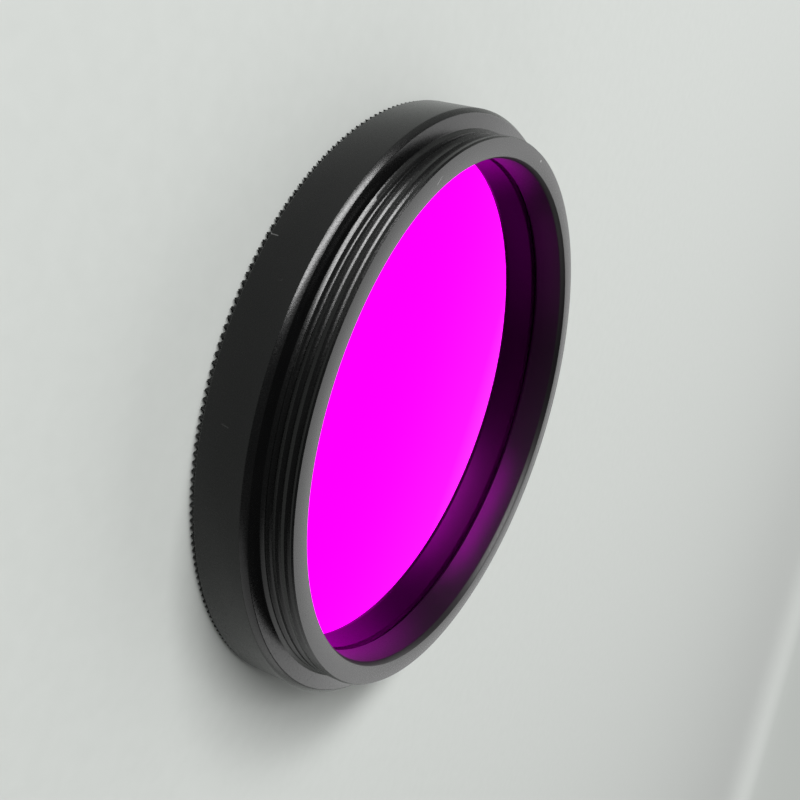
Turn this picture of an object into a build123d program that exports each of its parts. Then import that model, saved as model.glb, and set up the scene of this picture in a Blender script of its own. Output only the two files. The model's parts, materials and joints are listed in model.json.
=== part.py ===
"""Optical bandpass filter: a coated glass disc in a thin, black, turned cell with M48 x 0.75 threads.

The cell lies on its rear face at z = 0, with its axis on Z and the male thread pointing up.
Sizes are in millimetres.
"""

import os
from math import cos, pi, sin, tan, radians

from build123d import *

# The screw thread, shared by the spigot in front and the socket behind
THREAD_MAJOR_R = 24.0
THREAD_PITCH = 0.75
SOCKET_R = THREAD_MAJOR_R - 0.5413 * THREAD_PITCH

# The cell's outside
TOTAL_HEIGHT = 7.45
SPIGOT_LENGTH = 2.60
SPIGOT_EDGE_BREAK = 0.12
BODY_R = 25.75
SHOULDER_OUTER_R = 25.40
SHOULDER_CHAMFER_HEIGHT = 0.45

# The knurled rim near the rear edge, a straight 90 degree knurl
RIM_BOTTOM_Z = 0.10
RIM_TOP_Z = 0.50
RIM_TIP_R = 25.65
RIM_TEETH = 256
RIM_TOOTH_DEPTH = 0.26
RIM_NOTCH_ANGLE = 90
REAR_EDGE_INSET = 0.04

# The clear opening in front of the glass
APERTURE_R = 22.14
MOUTH_R = 22.35
MOUTH_DEPTH = 0.455
LIP_DEPTH = 3.42
LIP_BACK_BREAK = 0.32

# The pocket behind the lip, and what it holds
POCKET_R = 23.10
SOCKET_DEPTH = 1.50
SOCKET_ENTRY = 0.35
GLASS_R = 23.00
GLASS_THICKNESS = 1.85
GLASS_BEVEL = 0.15
RING_INNER_R = 22.30
RING_SLOT_WIDTH = 1.20
RING_SLOT_DEPTH = 0.38
RING_EDGE_BREAK = 0.10

RIM_ROOT_R = RIM_TIP_R - RIM_TOOTH_DEPTH
SHOULDER_Z = TOTAL_HEIGHT - SPIGOT_LENGTH
SEAT_Z = TOTAL_HEIGHT - LIP_DEPTH
GLASS_BACK_Z = SEAT_Z - GLASS_THICKNESS


def turned(points):
    """Turn a closed outline of (radius, height) points about Z."""
    outline = make_face(Polyline(*[(r, 0, z) for r, z in points], close=True))
    return revolve(outline, Axis.Z)


def knurl_outline():
    """The rim seen from behind: pointed teeth with a narrow flat at each tip."""
    pitch_angle = 2 * pi / RIM_TEETH
    half_notch = RIM_TOOTH_DEPTH * tan(radians(RIM_NOTCH_ANGLE / 2)) / RIM_TIP_R
    corners = []
    for tooth in range(RIM_TEETH):
        notch = tooth * pitch_angle
        for r, angle in (
            (RIM_TIP_R, notch - half_notch),
            (RIM_ROOT_R, notch),
            (RIM_TIP_R, notch + half_notch),
        ):
            corners.append((r * cos(angle), r * sin(angle)))
    return make_face(Polyline(*corners, close=True))


def knurled_rim():
    """The narrow toothed band, and the broken rear edge that it stands proud of."""
    teeth = Pos(0, 0, RIM_BOTTOM_Z) * extrude(knurl_outline(), RIM_TOP_Z - RIM_BOTTOM_Z)
    rear_edge_r = RIM_ROOT_R - REAR_EDGE_INSET
    rear_edge = turned(
        [
            (0, 0),
            (rear_edge_r - RIM_BOTTOM_Z, 0),
            (rear_edge_r, RIM_BOTTOM_Z),
            (0, RIM_BOTTOM_Z),
        ]
    )
    return teeth + rear_edge


def cell_outside():
    """Smooth body, front chamfer, shoulder and the plain spigot that carries the male thread."""
    return turned(
        [
            (0, RIM_TOP_Z),
            (BODY_R, RIM_TOP_Z),
            (BODY_R, SHOULDER_Z - SHOULDER_CHAMFER_HEIGHT),
            (SHOULDER_OUTER_R, SHOULDER_Z),
            (THREAD_MAJOR_R, SHOULDER_Z),
            (THREAD_MAJOR_R, TOTAL_HEIGHT - SPIGOT_EDGE_BREAK),
            (THREAD_MAJOR_R - SPIGOT_EDGE_BREAK, TOTAL_HEIGHT),
            (0, TOTAL_HEIGHT),
        ]
    )


def cell_opening():
    """All that is bored out: rear socket, pocket for the glass, lip and front mouth."""
    return turned(
        [
            (0, 0),
            (SOCKET_R + SOCKET_ENTRY, 0),
            (SOCKET_R, SOCKET_ENTRY),
            (SOCKET_R, SOCKET_DEPTH),
            (POCKET_R, SOCKET_DEPTH),
            (POCKET_R, SEAT_Z),
            (APERTURE_R + LIP_BACK_BREAK, SEAT_Z),
            (APERTURE_R, SEAT_Z + LIP_BACK_BREAK),
            (APERTURE_R, TOTAL_HEIGHT - MOUTH_DEPTH),
            (MOUTH_R, TOTAL_HEIGHT),
            (0, TOTAL_HEIGHT),
        ]
    )


def make_cell():
    return cell_outside() + knurled_rim() - cell_opening()


def make_filter_glass():
    """A flat disc with ground bevels, seated against the back of the lip."""
    return turned(
        [
            (0, GLASS_BACK_Z),
            (GLASS_R - GLASS_BEVEL, GLASS_BACK_Z),
            (GLASS_R, GLASS_BACK_Z + GLASS_BEVEL),
            (GLASS_R, SEAT_Z - GLASS_BEVEL),
            (GLASS_R - GLASS_BEVEL, SEAT_Z),
            (0, SEAT_Z),
        ]
    )


def make_retaining_ring():
    """The ring behind the glass, flush with the pocket's edge, with two slots for a spanner."""
    ring = turned(
        [
            (RING_INNER_R, SOCKET_DEPTH + RING_EDGE_BREAK),
            (RING_INNER_R + RING_EDGE_BREAK, SOCKET_DEPTH),
            (POCKET_R, SOCKET_DEPTH),
            (POCKET_R, GLASS_BACK_Z),
            (RING_INNER_R, GLASS_BACK_Z),
        ]
    )
    slot_length = 2 * (POCKET_R + RING_SLOT_WIDTH)
    slots = Pos(0, 0, SOCKET_DEPTH) * Box(slot_length, RING_SLOT_WIDTH, 2 * RING_SLOT_DEPTH)
    return ring - slots


os.makedirs("parts", exist_ok=True)
export_step(make_cell(), "parts/cell.step")
export_step(make_filter_glass(), "parts/filter_glass.step")
export_step(make_retaining_ring(), "parts/retaining_ring.step")
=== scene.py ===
import json
from math import cos, pi, radians, sin, tan

import bmesh
import bpy
import numpy as np
from mathutils import Euler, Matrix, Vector


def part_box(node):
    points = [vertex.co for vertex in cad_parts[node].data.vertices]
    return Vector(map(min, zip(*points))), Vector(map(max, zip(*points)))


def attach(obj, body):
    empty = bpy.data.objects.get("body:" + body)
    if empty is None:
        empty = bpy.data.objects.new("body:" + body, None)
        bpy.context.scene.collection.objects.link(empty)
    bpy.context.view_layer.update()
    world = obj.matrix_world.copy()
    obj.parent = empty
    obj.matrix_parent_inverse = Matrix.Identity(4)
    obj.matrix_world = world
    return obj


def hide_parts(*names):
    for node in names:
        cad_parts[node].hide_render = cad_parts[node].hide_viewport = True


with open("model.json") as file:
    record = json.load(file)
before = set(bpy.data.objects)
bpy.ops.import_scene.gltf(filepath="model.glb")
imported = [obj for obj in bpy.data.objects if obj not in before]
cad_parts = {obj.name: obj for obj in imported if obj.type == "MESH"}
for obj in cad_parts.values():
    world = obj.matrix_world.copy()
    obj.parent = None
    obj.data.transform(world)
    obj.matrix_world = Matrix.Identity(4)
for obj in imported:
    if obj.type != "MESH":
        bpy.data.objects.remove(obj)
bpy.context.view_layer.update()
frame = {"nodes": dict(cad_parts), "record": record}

# Sizes in millimetres, as in the part's own drawing
MM = 0.001
CELL_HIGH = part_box("cell")[1]
GLASS_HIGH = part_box("filter_glass")[1]
MOUNTS = {mount["name"]: mount for mount in frame["record"]["mounts"]}
TOTAL_HEIGHT = CELL_HIGH[2] / MM
BODY_R = CELL_HIGH[0] / MM
SEAT_Z = GLASS_HIGH[2] / MM
GLASS_R = GLASS_HIGH[0] / MM
SHOULDER_Z = MOUNTS["shoulder"]["pos_m"][2] / MM
THREAD_R = MOUNTS["male_thread"]["dims"]["r_mm"]
SOCKET_R = MOUNTS["rear_thread"]["dims"]["r_mm"]

THREAD_PITCH = 0.75
SPIGOT_EDGE_BREAK = 0.12
SHOULDER_OUTER_R = 25.40
SHOULDER_CHAMFER_HEIGHT = 0.45
RIM_BOTTOM_Z = 0.10
RIM_TOP_Z = 0.50
RIM_TIP_R = 25.65
RIM_TEETH = 256
RIM_TOOTH_DEPTH = 0.26
REAR_EDGE_INSET = 0.04
REAR_EDGE_R = RIM_TIP_R - RIM_TOOTH_DEPTH - REAR_EDGE_INSET
REAR_FACE_R = 24.9
APERTURE_R = 22.14
MOUTH_R = 22.35
MOUTH_DEPTH = 0.455
LIP_BACK_BREAK = 0.32
GLASS_CLEARANCE = 0.10
POCKET_R = GLASS_R + GLASS_CLEARANCE
SOCKET_DEPTH = 1.50
SOCKET_ENTRY = 0.35
SOCKET_EDGE_BREAK = 0.02

# The cut form of the threads: 60 degree flanks, with the crest wider than the root
FLANK_SLOPE = tan(radians(30))
CREST_WIDTH = 0.31
CREST_SOFTNESS = 0.03
ROOT_FILLET_SHARE = 0.45
ROOT_FILLET_SLOPE = 0.80
MALE_THREAD_DEPTH = 0.28
FIRST_CREST_Z = 6.55
FEMALE_CREST_WIDTH = 0.19
FEMALE_CREST_Z = 0.80
THREAD_START = -pi / 2
THREAD_RUNOUT = 0.18
BASE_CONE_WIDTH = 0.18
BASE_CONE_HEIGHT = 0.26

# The rim's notches, cut slantwise across its rear edge
NOTCH_DEPTH = 0.24
NOTCH_HALF_WIDTH = 0.29
NOTCH_RISE = 0.30
NOTCH_SLOPE = 0.9
NOTCH_ROWS = (1.0, 0.6, 0.1, 0.0)
KNURL_SOFTNESS = 0.02

# How finely the skin is laid out
EDGE_SOFTNESS = 0.05
MAX_SOFTENED_SHARE = 0.4
ROW_STEP = 0.06
MERGE_DISTANCE = 0.0002
SHARP_ANGLE = 28

# Small marks of use, in millimetres: two ends of a stroke, half its width and how pale it is
PALE_MARKS = (
    ((-15.91, -16.93, 7.45), (-15.14, -17.25, 7.45), 0.05, 0.12),
    ((-23.42, -0.41, 7.45), (-23.36, -0.41, 7.45), 0.10, 0.40),
    ((-7.86, -24.50, 0.30), (-7.72, -24.57, 0.62), 0.06, 0.10),
    ((-7.72, -24.57, 0.62), (-7.70, -24.57, 1.14), 0.05, 0.07),
    ((5.24, -25.21, 2.11), (5.35, -25.19, 2.64), 0.05, 0.02),
)
DIMPLE = ((-4.87, -25.29, 2.90), (-4.87, -25.29, 2.95), 0.13)

# The black finish. Noise scales are in cells per metre, the grain's height is in metres,
# and the dimple's depth is in grain heights
GRAIN_SCALE = 9000
CLOUD_SCALE = 300
FINE_DETAIL = 3.0
COARSE_DETAIL = 2.0
DYE_DARK = (0.0015, 0.0016, 0.0017)
DYE_LIGHT = (0.0035, 0.0035, 0.0035)
SATIN_SMOOTH = 0.19
SATIN_ROUGH = 0.30
BLACK_IOR = 1.45
BLACK_SPECULAR = 0.32
GRAIN_HEIGHT = 0.000005
GRAIN_STRENGTH = 0.7
DIMPLE_DEPTH = -8.0
BORE_EDGE_R = 22.45
BORE_EDGE_FADE = 0.10
BORE_ROUGHNESS = 0.18

# The coating's colours, seen steeply and at a slant
COATING_STEEP = (1.0, 0.0, 0.99)
COATING_SLANTED = (1.0, 0.07, 0.88)
COATING_SLANT_RANGE = (0.62, 0.68)
COATING_EDGE_TINT = (1.0, 0.51, 1.0, 1.0)
HAZE_SCALE = 120
COATING_SMOOTH = 0.02
COATING_ROUGH = 0.035

# The camera, fitted to the circles of the photograph
LENS = 43.544
SENSOR = 36.0
CAMERA_AT = (0.0, -77.81, 40.08)
CAMERA_AIM = (-4.684, 0.423, 7.45)
CAMERA_ROLL = 106.297
OPTICAL_CENTRE = (480, 365)
PICTURE_SIDE = 800
NEAREST_VIEW = 0.001

# The studio floor and its round backdrop, in metres. Beyond the lit floor its own glow takes over
FLOOR_R = 2.6
SWEEP_R = 0.7
BACKDROP_HEIGHT = 1.1
BACKDROP_STEPS = 10
BACKDROP_TURNS = 96
LIT_FLOOR_R = 0.9
PLAIN_BACKDROP_R = 1.5
BACKDROP_COLOUR = (0.46, 0.48, 0.46)
FLOOR_DARK = (0.50, 0.52, 0.50)
FLOOR_LIGHT = (0.53, 0.55, 0.53)
FLOOR_SPECKLE_SCALE = 700
FLOOR_ROUGHNESS = 0.7
FLOOR_SPECULAR = 0.2
WELD_DISTANCE = 0.00001

# The lamps: place and size in metres, power in watts
LAMPS = {
    "key_softbox": ((-0.65, -0.55, 0.58), (0.94, 0.21), 19.5),
    "fill_softbox": ((0.75, 0.05, 0.25), (0.9, 0.4), 1.1),
    "far_softbox": ((-0.36, 1.8, 0.91), (3.1, 1.5), 26.5),
}
ROOM_COLOUR = (0.70, 0.72, 0.70, 1)
ROOM_STRENGTH = 0.12


def softened(corners, softness):
    """Replace each inner corner of a run of (r, z) points by a short arc."""
    points = [corners[0]]
    for before, here, after in zip(corners, corners[1:], corners[2:]):
        corner = Vector(here)
        for side in (before, after):
            reach = Vector(side) - corner
            step = min(softness, reach.length * MAX_SOFTENED_SHARE)
            points.append(corner + reach.normalized() * step)
        points.insert(-1, (points[-1] + points[-2]) / 4 + corner / 2)
    points.append(corners[-1])
    return [tuple(point) for point in points]


def thread_wave(crest_width, depth, softness):
    """One pitch of a thread as (distance along the axis, depth below the crest)."""
    half = crest_width / 2
    fillet = depth * ROOT_FILLET_SHARE
    foot = half + (depth - fillet) * FLANK_SLOPE
    return [
        (-half, softness),
        (softness - half, 0.0),
        (half - softness, 0.0),
        (half, softness),
        (foot, depth - fillet),
        (foot + fillet / ROOT_FILLET_SLOPE, depth),
        (THREAD_PITCH - half - depth * FLANK_SLOPE, depth),
        (THREAD_PITCH - half, softness),
    ]


def refined(wave, step):
    """Add points to a thread's form so that none lie further apart than a step."""
    points = []
    for (start, high), (end, low) in zip(wave, wave[1:]):
        pieces = max(1, round((end - start) / step))
        for share in np.arange(pieces) / pieces:
            points.append((start + (end - start) * share, high + (low - high) * share))
    return points


def column_angles():
    """Three columns of vertices to a tooth: its two tip edges and the notch between."""
    half_notch = NOTCH_HALF_WIDTH / RIM_TIP_R
    pitch = 2 * pi / RIM_TEETH
    notches = np.arange(RIM_TEETH)[:, None] * pitch
    angles = (notches + np.array([-half_notch, 0.0, half_notch])).ravel()
    return np.append(angles, angles[0] + 2 * pi)


def plain_rows(points, angles):
    """Rows of constant radius and height."""
    r = np.outer([point[0] for point in points], np.ones_like(angles))
    z = np.outer([point[1] for point in points], np.ones_like(angles))
    return r, z


def knurl_rows(angles):
    """Rows that follow the teeth. Each notch runs slantwise down into the rear face."""
    notch = np.arange(len(angles)) % 3 == 1
    tooth_path = [
        (REAR_EDGE_R - RIM_BOTTOM_Z, 0.0),
        (REAR_EDGE_R, RIM_BOTTOM_Z),
        (RIM_TIP_R - KNURL_SOFTNESS, RIM_BOTTOM_Z),
        (RIM_TIP_R, RIM_BOTTOM_Z + KNURL_SOFTNESS),
        (RIM_TIP_R, RIM_TOP_Z),
    ]
    top_r = RIM_TIP_R - NOTCH_DEPTH
    top_z = RIM_BOTTOM_Z + NOTCH_RISE
    drops = [top_z * share for share in NOTCH_ROWS]
    notch_path = [(top_r - drop / NOTCH_SLOPE, top_z - drop) for drop in drops]
    notch_path.append((top_r, RIM_TOP_Z))
    pairs = list(zip(notch_path, tooth_path))
    r = np.array([np.where(notch, low[0], high[0]) for low, high in pairs])
    z = np.array([np.where(notch, low[1], high[1]) for low, high in pairs])
    return r, z


def thread_rows(angles, wave, crest_z, low, high, surface_r, inward):
    """Rows that climb with a right-hand helix and stop at the two ends of the threaded length."""
    turn = (angles - THREAD_START) / (2 * pi)
    first = int((low - crest_z) / THREAD_PITCH) - 2
    last = int((high - crest_z) / THREAD_PITCH) + 2
    marks = [n * THREAD_PITCH + along for n in range(first, last + 1) for along, _ in wave]
    z = np.array(marks)[:, None] + crest_z + THREAD_PITCH * turn
    z = np.clip(z, low, high)
    along = [point[0] for point in wave] + [wave[0][0] + THREAD_PITCH]
    below = [point[1] for point in wave] + [wave[0][1]]
    phase = (z - crest_z - THREAD_PITCH * turn - along[0]) % THREAD_PITCH + along[0]
    depth = np.interp(phase, along, below)
    return surface_r + (depth if inward else -depth), z


def cell_mesh():
    """The cell's whole skin: one closed ring of rows, laid round the axis."""
    angles = column_angles()
    male = refined(thread_wave(CREST_WIDTH, MALE_THREAD_DEPTH, CREST_SOFTNESS), ROW_STEP)
    female_depth = THREAD_R - SOCKET_R
    female = thread_wave(FEMALE_CREST_WIDTH, female_depth, CREST_SOFTNESS)[:-1]
    rear = softened(
        [
            (SOCKET_R + SOCKET_ENTRY, SOCKET_EDGE_BREAK),
            (SOCKET_R + SOCKET_ENTRY + SOCKET_EDGE_BREAK, 0.0),
            (REAR_FACE_R, 0.0),
        ],
        EDGE_SOFTNESS,
    )
    body = softened(
        [
            (BODY_R - EDGE_SOFTNESS, RIM_TOP_Z),
            (BODY_R, RIM_TOP_Z + EDGE_SOFTNESS),
            (BODY_R, SHOULDER_Z - SHOULDER_CHAMFER_HEIGHT),
            (SHOULDER_OUTER_R, SHOULDER_Z),
            (THREAD_R + BASE_CONE_WIDTH, SHOULDER_Z),
            (THREAD_R, SHOULDER_Z + BASE_CONE_HEIGHT),
        ],
        EDGE_SOFTNESS,
    )
    front = softened(
        [
            (THREAD_R - SPIGOT_EDGE_BREAK - EDGE_SOFTNESS, TOTAL_HEIGHT),
            (MOUTH_R, TOTAL_HEIGHT),
            (APERTURE_R, TOTAL_HEIGHT - MOUTH_DEPTH),
            (APERTURE_R, SEAT_Z + LIP_BACK_BREAK),
            (APERTURE_R + LIP_BACK_BREAK, SEAT_Z),
            (POCKET_R, SEAT_Z),
            (POCKET_R, SOCKET_DEPTH),
            (POCKET_R + EDGE_SOFTNESS, SOCKET_DEPTH),
        ],
        EDGE_SOFTNESS,
    )
    spigot_top = TOTAL_HEIGHT - SPIGOT_EDGE_BREAK
    thread_end = SHOULDER_Z + BASE_CONE_HEIGHT
    male_r, male_z = thread_rows(
        angles, male, FIRST_CREST_Z, thread_end, spigot_top, THREAD_R, False
    )
    faded = np.clip((male_z - thread_end) / THREAD_RUNOUT, 0, 1)
    male_r = THREAD_R - (THREAD_R - male_r) * faded
    tip_r = np.minimum(male_r[-1:], THREAD_R - SPIGOT_EDGE_BREAK)
    tip_z = male_z[-1:] + SPIGOT_EDGE_BREAK
    female_r, female_z = thread_rows(
        angles, female, FEMALE_CREST_Z, SOCKET_ENTRY, SOCKET_DEPTH, SOCKET_R, True
    )
    sections = [
        plain_rows(rear, angles),
        knurl_rows(angles),
        plain_rows(body, angles),
        (male_r, male_z),
        (tip_r, tip_z),
        plain_rows(front, angles),
        (female_r[::-1], female_z[::-1]),
    ]
    r = np.vstack([section[0] for section in sections])
    z = np.vstack([section[1] for section in sections])
    return ring_mesh("cell_skin", r, z, angles)


def ring_mesh(name, r, z, angles):
    """A closed ring from rows of radii and heights. The last column lies on the first."""
    rows, columns = r.shape
    points = np.stack([r * np.cos(angles), r * np.sin(angles), z], axis=-1) * MM
    here = np.arange(rows)[:, None] * columns + np.arange(columns - 1)
    above = (np.arange(rows)[:, None] + 1) % rows * columns + np.arange(columns - 1)
    quads = np.stack([here, here + 1, above + 1, above], axis=-1).reshape(-1, 4)
    mesh = bpy.data.meshes.new(name)
    mesh.from_pydata(points.reshape(-1, 3).tolist(), [], quads.tolist())
    work = bmesh.new()
    work.from_mesh(mesh)
    bmesh.ops.remove_doubles(work, verts=work.verts, dist=MERGE_DISTANCE * MM)
    bmesh.ops.dissolve_degenerate(work, edges=work.edges, dist=MERGE_DISTANCE * MM)
    bmesh.ops.recalc_face_normals(work, faces=work.faces)
    work.to_mesh(mesh)
    work.free()
    mesh.shade_smooth()
    mesh.set_sharp_from_angle(angle=radians(SHARP_ANGLE))
    return mesh


def material(name):
    """An empty node material with its Principled shader."""
    made = bpy.data.materials.new(name)
    made.use_nodes = True
    shader = made.node_tree.nodes["Principled BSDF"]
    return made, made.node_tree, shader


def noise(tree, scale, detail=FINE_DETAIL):
    """Noise in the part's own coordinates, scale in cells per metre."""
    where = tree.nodes.new("ShaderNodeTexCoord")
    node = tree.nodes.new("ShaderNodeTexNoise")
    node.inputs["Scale"].default_value = scale
    node.inputs["Detail"].default_value = detail
    tree.links.new(where.outputs["Object"], node.inputs["Vector"])
    return node.outputs["Fac"]


def ranged(tree, fac, low, high, from_low=0.3, from_high=0.7):
    """Map a value to a range. The limits it starts from are a noise's, if none are given."""
    node = tree.nodes.new("ShaderNodeMapRange")
    node.inputs["From Min"].default_value = from_low
    node.inputs["From Max"].default_value = from_high
    node.inputs["To Min"].default_value = low
    node.inputs["To Max"].default_value = high
    tree.links.new(fac, node.inputs["Value"])
    return node.outputs["Result"]


def tinted(tree, fac, dark, light):
    """Blend two colours by a value from 0 to 1."""
    node = tree.nodes.new("ShaderNodeMix")
    node.data_type = "RGBA"
    node.inputs["A"].default_value = (*dark, 1)
    node.inputs["B"].default_value = (*light, 1)
    tree.links.new(fac, node.inputs["Factor"])
    return node.outputs["Result"]


def calculated(tree, operation, first, second, third=None):
    """One step of plain maths on numbers or sockets."""
    node = tree.nodes.new("ShaderNodeMath")
    node.operation = operation
    for socket, value in zip(node.inputs, (first, second, third)):
        if isinstance(value, float):
            socket.default_value = value
        elif value is not None:
            tree.links.new(value, socket)
    return node.outputs["Value"]


def vector_step(tree, operation, first, second, output="Vector"):
    """One step of vector maths on a socket and on a fixed vector or another socket."""
    node = tree.nodes.new("ShaderNodeVectorMath")
    node.operation = operation
    tree.links.new(first, node.inputs[0])
    if isinstance(second, Vector):
        node.inputs[1].default_value = second
    else:
        tree.links.new(second, node.inputs[1])
    return node.outputs[output]


def stroke(tree, start, end, half_width):
    """1 on a short stroke between two points of the surface, 0 away from it."""
    where = tree.nodes.new("ShaderNodeTexCoord").outputs["Object"]
    along = (Vector(end) - Vector(start)) * MM
    offset = vector_step(tree, "SUBTRACT", where, Vector(start) * MM)
    share = vector_step(tree, "DOT_PRODUCT", offset, along / along.length_squared, "Value")
    nearest = vector_step(tree, "MULTIPLY", ranged(tree, share, 0, 1, 0, 1), along)
    distance = vector_step(tree, "DISTANCE", nearest, offset, "Value")
    return ranged(tree, distance, 1, 0, half_width * MM / 2, half_width * MM)


def bumped(tree, shader, height, distance, strength):
    node = tree.nodes.new("ShaderNodeBump")
    node.inputs["Distance"].default_value = distance
    node.inputs["Strength"].default_value = strength
    tree.links.new(height, node.inputs["Height"])
    tree.links.new(node.outputs["Normal"], shader.inputs["Normal"])


def black_anodised():
    """Bead-blasted, dyed aluminium: near black, satin, with a fine sparkling grain."""
    made, tree, shader = material("black_anodised")
    grain = noise(tree, GRAIN_SCALE)
    cloud = noise(tree, CLOUD_SCALE)
    dye = tinted(tree, cloud, DYE_DARK, DYE_LIGHT)
    for start, end, half_width, pale in PALE_MARKS:
        mask = stroke(tree, start, end, half_width)
        dye = vector_step(tree, "MAXIMUM", dye, tinted(tree, mask, (0, 0, 0), (pale, pale, pale)))
    tree.links.new(dye, shader.inputs["Base Color"])
    where = tree.nodes.new("ShaderNodeTexCoord").outputs["Object"]
    from_axis = vector_step(tree, "MULTIPLY", where, Vector((1, 1, 0)))
    radius = vector_step(tree, "LENGTH", from_axis, Vector(), "Value")
    fade_start = (BORE_EDGE_R - BORE_EDGE_FADE) * MM
    extra = ranged(tree, radius, BORE_ROUGHNESS, 0, fade_start, BORE_EDGE_R * MM)
    satin = calculated(tree, "ADD", ranged(tree, grain, SATIN_SMOOTH, SATIN_ROUGH), extra)
    tree.links.new(satin, shader.inputs["Roughness"])
    shader.inputs["IOR"].default_value = BLACK_IOR
    shader.inputs["Specular IOR Level"].default_value = BLACK_SPECULAR
    relief = calculated(tree, "MULTIPLY_ADD", stroke(tree, *DIMPLE), DIMPLE_DEPTH, grain)
    bumped(tree, shader, relief, GRAIN_HEIGHT, GRAIN_STRENGTH)
    return made


def coated_glass():
    """The interference coating: a mirror for magenta."""
    made, tree, shader = material("coated_glass")
    haze = noise(tree, HAZE_SCALE)
    angle = tree.nodes.new("ShaderNodeLayerWeight")
    slant = ranged(tree, angle.outputs["Facing"], 0.0, 1.0, *COATING_SLANT_RANGE)
    colour = tinted(tree, slant, COATING_STEEP, COATING_SLANTED)
    tree.links.new(colour, shader.inputs["Base Color"])
    tree.links.new(ranged(tree, haze, COATING_SMOOTH, COATING_ROUGH), shader.inputs["Roughness"])
    shader.inputs["Metallic"].default_value = 1.0
    shader.inputs["Specular Tint"].default_value = COATING_EDGE_TINT
    return made


def pale_floor():
    """A pale matt floor, which turns into an evenly pale backdrop far from the part."""
    made, tree, shader = material("pale_floor")
    speckle = noise(tree, FLOOR_SPECKLE_SCALE, COARSE_DETAIL)
    where = tree.nodes.new("ShaderNodeTexCoord").outputs["Object"]
    distance = vector_step(tree, "LENGTH", where, Vector(), "Value")
    far = ranged(tree, distance, 0, 1, LIT_FLOOR_R, PLAIN_BACKDROP_R)
    near = calculated(tree, "SUBTRACT", 1.0, far)
    paint = tinted(tree, speckle, FLOOR_DARK, FLOOR_LIGHT)
    tree.links.new(vector_step(tree, "MULTIPLY", paint, near), shader.inputs["Base Color"])
    rays = tree.nodes.new("ShaderNodeLightPath").outputs
    seen = calculated(tree, "MAXIMUM", rays["Is Camera Ray"], rays["Is Glossy Ray"])
    seen = calculated(tree, "MAXIMUM", seen, rays["Is Transmission Ray"])
    tree.links.new(calculated(tree, "MULTIPLY", far, seen), shader.inputs["Emission Strength"])
    shader.inputs["Emission Color"].default_value = (*BACKDROP_COLOUR, 1)
    shader.inputs["Roughness"].default_value = FLOOR_ROUGHNESS
    shader.inputs["Specular IOR Level"].default_value = FLOOR_SPECULAR
    return made


def make_cell():
    cell = bpy.data.objects.new("cell_skin", cell_mesh())
    bpy.context.scene.collection.objects.link(cell)
    cell.data.materials.append(black_anodised())
    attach(cell, "root")
    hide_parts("cell")
    return cell


def dress_nodes(cell):
    """The glass and the ring keep their own shape and get their finish here."""
    glass = frame["nodes"]["filter_glass"]
    ring = frame["nodes"]["retaining_ring"]
    for node, finish in ((glass, coated_glass()), (ring, cell.data.materials[0])):
        node.data.materials.clear()
        node.data.materials.append(finish)


def make_floor():
    """A round studio floor that curves up into its own backdrop."""
    arc = [radians(90 * step / BACKDROP_STEPS) for step in range(BACKDROP_STEPS + 1)]
    profile = [(0.0, 0.0)]
    profile += [(FLOOR_R + SWEEP_R * sin(turn), SWEEP_R * (1 - cos(turn))) for turn in arc]
    profile.append((FLOOR_R + SWEEP_R, BACKDROP_HEIGHT))
    mesh = bpy.data.meshes.new("floor")
    work = bmesh.new()
    line = [work.verts.new((r, 0, z)) for r, z in profile]
    edges = [work.edges.new(pair) for pair in zip(line, line[1:])]
    bmesh.ops.spin(
        work,
        geom=line + edges,
        cent=(0, 0, 0),
        axis=(0, 0, 1),
        angle=2 * pi,
        steps=BACKDROP_TURNS,
    )
    bmesh.ops.remove_doubles(work, verts=work.verts, dist=WELD_DISTANCE)
    bmesh.ops.recalc_face_normals(work, faces=work.faces)
    bmesh.ops.reverse_faces(work, faces=work.faces)
    work.to_mesh(mesh)
    work.free()
    mesh.shade_smooth()
    floor = bpy.data.objects.new("floor", mesh)
    bpy.context.scene.collection.objects.link(floor)
    mesh.materials.append(pale_floor())


def aimed(thing, at, aim, roll=0.0):
    """Put a camera or lamp at a point, look at another, and turn it about that line."""
    thing.location = Vector(at)
    look = (Vector(aim) - Vector(at)).to_track_quat("-Z", "Y")
    thing.rotation_euler = (look.to_matrix() @ Euler((0, 0, radians(roll))).to_matrix()).to_euler()
    bpy.context.scene.collection.objects.link(thing)


def make_camera():
    camera = bpy.data.objects.new("camera", bpy.data.cameras.new("camera"))
    camera.data.lens = LENS
    camera.data.sensor_width = SENSOR
    camera.data.shift_x = (PICTURE_SIDE / 2 - OPTICAL_CENTRE[0]) / PICTURE_SIDE
    camera.data.shift_y = (OPTICAL_CENTRE[1] - PICTURE_SIDE / 2) / PICTURE_SIDE
    camera.data.clip_start = NEAREST_VIEW
    aimed(camera, [c * MM for c in CAMERA_AT], [c * MM for c in CAMERA_AIM], CAMERA_ROLL)
    bpy.context.scene.camera = camera


def softbox(name, at, size, power):
    """A rectangular soft lamp that faces the part. Power in watts, the rest in metres."""
    data = bpy.data.lights.new(name, "AREA")
    data.shape = "RECTANGLE"
    data.size, data.size_y = size
    data.energy = power
    aimed(bpy.data.objects.new(name, data), at, (0, 0, 0))


def make_light():
    """Three soft lamps and a dim room. The far lamp is the one that the glass mirrors."""
    world = bpy.data.worlds.new("studio")
    bpy.context.scene.world = world
    world.use_nodes = True
    room = world.node_tree.nodes["Background"]
    room.inputs["Color"].default_value = ROOM_COLOUR
    room.inputs["Strength"].default_value = ROOM_STRENGTH
    for name, (at, size, power) in LAMPS.items():
        softbox(name, at, size, power)


make_camera()
make_light()
make_floor()
dress_nodes(make_cell())

view = bpy.context.scene.view_settings
view.view_transform = "Standard"
